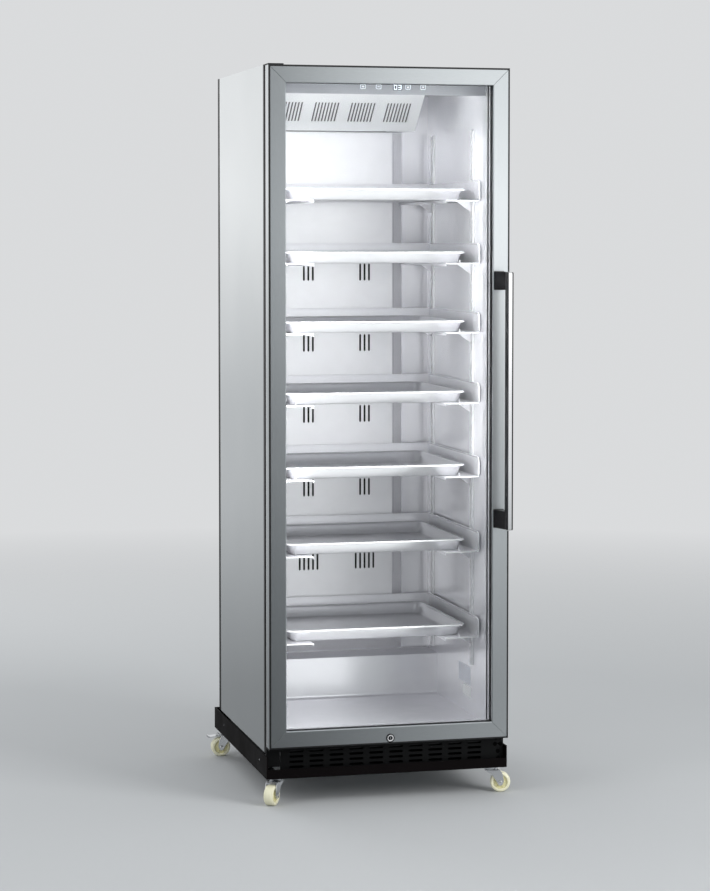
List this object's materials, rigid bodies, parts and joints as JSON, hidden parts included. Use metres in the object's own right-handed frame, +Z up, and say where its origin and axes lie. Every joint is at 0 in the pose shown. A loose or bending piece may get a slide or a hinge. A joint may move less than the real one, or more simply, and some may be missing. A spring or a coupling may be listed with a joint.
{
  "type": "reach in refrigerator",
  "caption": "Upright glass-door reach-in refrigerator in stainless steel, with pan racks and sheet pans inside, on a black castered base frame.",
  "frame": {"origin": "middle of the footprint on the floor, under the cabinet", "axes": "+Z up, +Y towards the back of the cabinet, +X to the right of someone facing the door; the hinges are at -X"},
  "size_m": [0.664, 0.768, 1.788],
  "materials": {
    "cabinet_stainless": "satin",
    "liner_stainless": "satin",
    "rack_steel": "satin",
    "standard_steel": "satin",
    "black_steel": "satin",
    "bottom_sheet": "satin",
    "foam": "matte",
    "black_plastic": "matte",
    "control_strip": "satin",
    "key_caps": "satin",
    "light_lens": "satin",
    "white_sheet": "satin",
    "coil_fins": "satin",
    "compressor_paint": "satin",
    "door_stainless": "satin",
    "handle_steel": "polished",
    "handle_black": "satin",
    "lock_chrome": "polished",
    "glass_unit": "polished",
    "gasket": "matte",
    "pan_aluminium": "satin",
    "caster_zinc": "satin",
    "caster_nylon": "satin"
  },
  "bodies": {
    "cabinet": {"side_panel_left": "cabinet_stainless", "side_panel_right": "cabinet_stainless", "top_panel": "cabinet_stainless", "inner_liner": "liner_stainless", "air_duct": "liner_stainless", "pan_rack_1": "rack_steel", "pan_rack_2": "rack_steel", "pan_rack_3": "rack_steel", "pan_rack_4": "rack_steel", "pan_rack_5": "rack_steel", "pan_rack_6": "rack_steel", "pan_rack_7": "rack_steel", "shelf_standard_front_left": "standard_steel", "shelf_standard_front_right": "standard_steel", "shelf_standard_back_left": "standard_steel", "shelf_standard_back_right": "standard_steel", "base_frame": "black_steel", "front_grille": "black_steel", "rear_panel": "black_steel", "hinge_bracket_top": "black_steel", "hinge_bracket_bottom": "black_steel", "bottom_panel": "bottom_sheet", "foam_insulation": "foam", "front_breaker_frame": "black_plastic", "control_panel": "control_strip", "led_light": "light_lens", "evaporator_cover": "white_sheet", "evaporator_coil": "coil_fins", "condenser": "coil_fins", "compressor": "compressor_paint"},
    "door": {"door_frame": "door_stainless", "door_glass": "glass_unit", "door_gasket": "gasket", "handle_bar": "handle_steel", "handle_bracket_top": "handle_black", "handle_bracket_bottom": "handle_black"},
    "lock": {"lock_cylinder": "lock_chrome"},
    "key_1": {"control_key_1": "key_caps"},
    "key_2": {"control_key_2": "key_caps"},
    "key_3": {"control_key_3": "key_caps"},
    "key_4": {"control_key_4": "key_caps"},
    "pan_1": {"sheet_pan_1": "pan_aluminium"},
    "pan_2": {"sheet_pan_2": "pan_aluminium"},
    "pan_3": {"sheet_pan_3": "pan_aluminium"},
    "pan_4": {"sheet_pan_4": "pan_aluminium"},
    "pan_5": {"sheet_pan_5": "pan_aluminium"},
    "pan_6": {"sheet_pan_6": "pan_aluminium"},
    "pan_7": {"sheet_pan_7": "pan_aluminium"},
    "evaporator_fan": {"evaporator_fan": "black_plastic"},
    "condenser_fan": {"condenser_fan": "black_plastic"},
    "fork_front_left": {"caster_fork_front_left": "caster_zinc"},
    "wheel_front_left": {"caster_wheel_front_left": "caster_nylon"},
    "fork_front_right": {"caster_fork_front_right": "caster_zinc"},
    "wheel_front_right": {"caster_wheel_front_right": "caster_nylon"},
    "fork_rear_left": {"caster_fork_rear_left": "caster_zinc"},
    "wheel_rear_left": {"caster_wheel_rear_left": "caster_nylon"},
    "pedal_rear_left": {"brake_pedal_rear_left": "caster_zinc"},
    "fork_rear_right": {"caster_fork_rear_right": "caster_zinc"},
    "wheel_rear_right": {"caster_wheel_rear_right": "caster_nylon"},
    "pedal_rear_right": {"brake_pedal_rear_right": "caster_zinc"}
  },
  "joints": [
    {"name": "door_hinge", "type": "hinge", "parent": "cabinet", "child": "door", "pos_m": [-0.288, -0.287, 0.964], "axis": [0, 0, -1], "range_deg": [0, 110]},
    {"name": "lock_turn", "type": "hinge", "parent": "door", "child": "lock", "pos_m": [0, -0.291, 0.158], "axis": [0, 1, 0], "range_deg": [0, 90]},
    {"name": "key_1_press", "type": "slide", "parent": "cabinet", "child": "key_1", "axis": [0, 1, 0], "range_m": [0, 0.0008], "stiffness_N_per_m": 400},
    {"name": "key_2_press", "type": "slide", "parent": "cabinet", "child": "key_2", "axis": [0, 1, 0], "range_m": [0, 0.0008], "stiffness_N_per_m": 400},
    {"name": "key_3_press", "type": "slide", "parent": "cabinet", "child": "key_3", "axis": [0, 1, 0], "range_m": [0, 0.0008], "stiffness_N_per_m": 400},
    {"name": "key_4_press", "type": "slide", "parent": "cabinet", "child": "key_4", "axis": [0, 1, 0], "range_m": [0, 0.0008], "stiffness_N_per_m": 400},
    {"name": "evaporator_fan_spin", "type": "hinge", "parent": "cabinet", "child": "evaporator_fan", "pos_m": [0, 0.239, 1.7006], "axis": [0, 0, 1], "continuous": true},
    {"name": "condenser_fan_spin", "type": "hinge", "parent": "cabinet", "child": "condenser_fan", "pos_m": [-0.1506, 0.269, 0.158], "axis": [1, 0, 0], "continuous": true},
    {"name": "pan_1_slide", "type": "slide", "parent": "cabinet", "child": "pan_1", "axis": [0, -1, 0], "range_m": [-0.008, 0.012]},
    {"name": "pan_2_slide", "type": "slide", "parent": "cabinet", "child": "pan_2", "axis": [0, -1, 0], "range_m": [-0.008, 0.012]},
    {"name": "pan_3_slide", "type": "slide", "parent": "cabinet", "child": "pan_3", "axis": [0, -1, 0], "range_m": [-0.008, 0.012]},
    {"name": "pan_4_slide", "type": "slide", "parent": "cabinet", "child": "pan_4", "axis": [0, -1, 0], "range_m": [-0.008, 0.012]},
    {"name": "pan_5_slide", "type": "slide", "parent": "cabinet", "child": "pan_5", "axis": [0, -1, 0], "range_m": [-0.008, 0.012]},
    {"name": "pan_6_slide", "type": "slide", "parent": "cabinet", "child": "pan_6", "axis": [0, -1, 0], "range_m": [-0.008, 0.012]},
    {"name": "pan_7_slide", "type": "slide", "parent": "cabinet", "child": "pan_7", "axis": [0, -1, 0], "range_m": [-0.008, 0.012]},
    {"name": "swivel_front_left", "type": "hinge", "parent": "cabinet", "child": "fork_front_left", "pos_m": [-0.272, -0.246, 0.06], "axis": [0, 0, 1], "continuous": true},
    {"name": "roll_front_left", "type": "hinge", "parent": "fork_front_left", "child": "wheel_front_left", "pos_m": [-0.28669, -0.26622, 0.025], "axis": [-0.809, 0.5878, 0], "continuous": true},
    {"name": "swivel_front_right", "type": "hinge", "parent": "cabinet", "child": "fork_front_right", "pos_m": [0.272, -0.246, 0.06], "axis": [0, 0, 1], "continuous": true},
    {"name": "roll_front_right", "type": "hinge", "parent": "fork_front_right", "child": "wheel_front_right", "pos_m": [0.29626, -0.25205, 0.025], "axis": [-0.2419, -0.9703, 0], "continuous": true},
    {"name": "swivel_rear_left", "type": "hinge", "parent": "cabinet", "child": "fork_rear_left", "pos_m": [-0.272, 0.334, 0.06], "axis": [0, 0, 1], "continuous": true},
    {"name": "roll_rear_left", "type": "hinge", "parent": "fork_rear_left", "child": "wheel_rear_left", "pos_m": [-0.297, 0.334, 0.025], "axis": [0, 1, 0], "continuous": true},
    {"name": "brake_rear_left", "type": "hinge", "parent": "fork_rear_left", "child": "pedal_rear_left", "pos_m": [-0.301, 0.334, 0.0565], "axis": [0, -1, 0], "range_deg": [0, 12]},
    {"name": "swivel_rear_right", "type": "hinge", "parent": "cabinet", "child": "fork_rear_right", "pos_m": [0.272, 0.334, 0.06], "axis": [0, 0, 1], "continuous": true},
    {"name": "roll_rear_right", "type": "hinge", "parent": "fork_rear_right", "child": "wheel_rear_right", "pos_m": [0.297, 0.334, 0.025], "axis": [0, -1, 0], "continuous": true},
    {"name": "brake_rear_right", "type": "hinge", "parent": "fork_rear_right", "child": "pedal_rear_right", "pos_m": [0.301, 0.334, 0.0565], "axis": [0, 1, 0], "range_deg": [0, 12]}
  ]
}
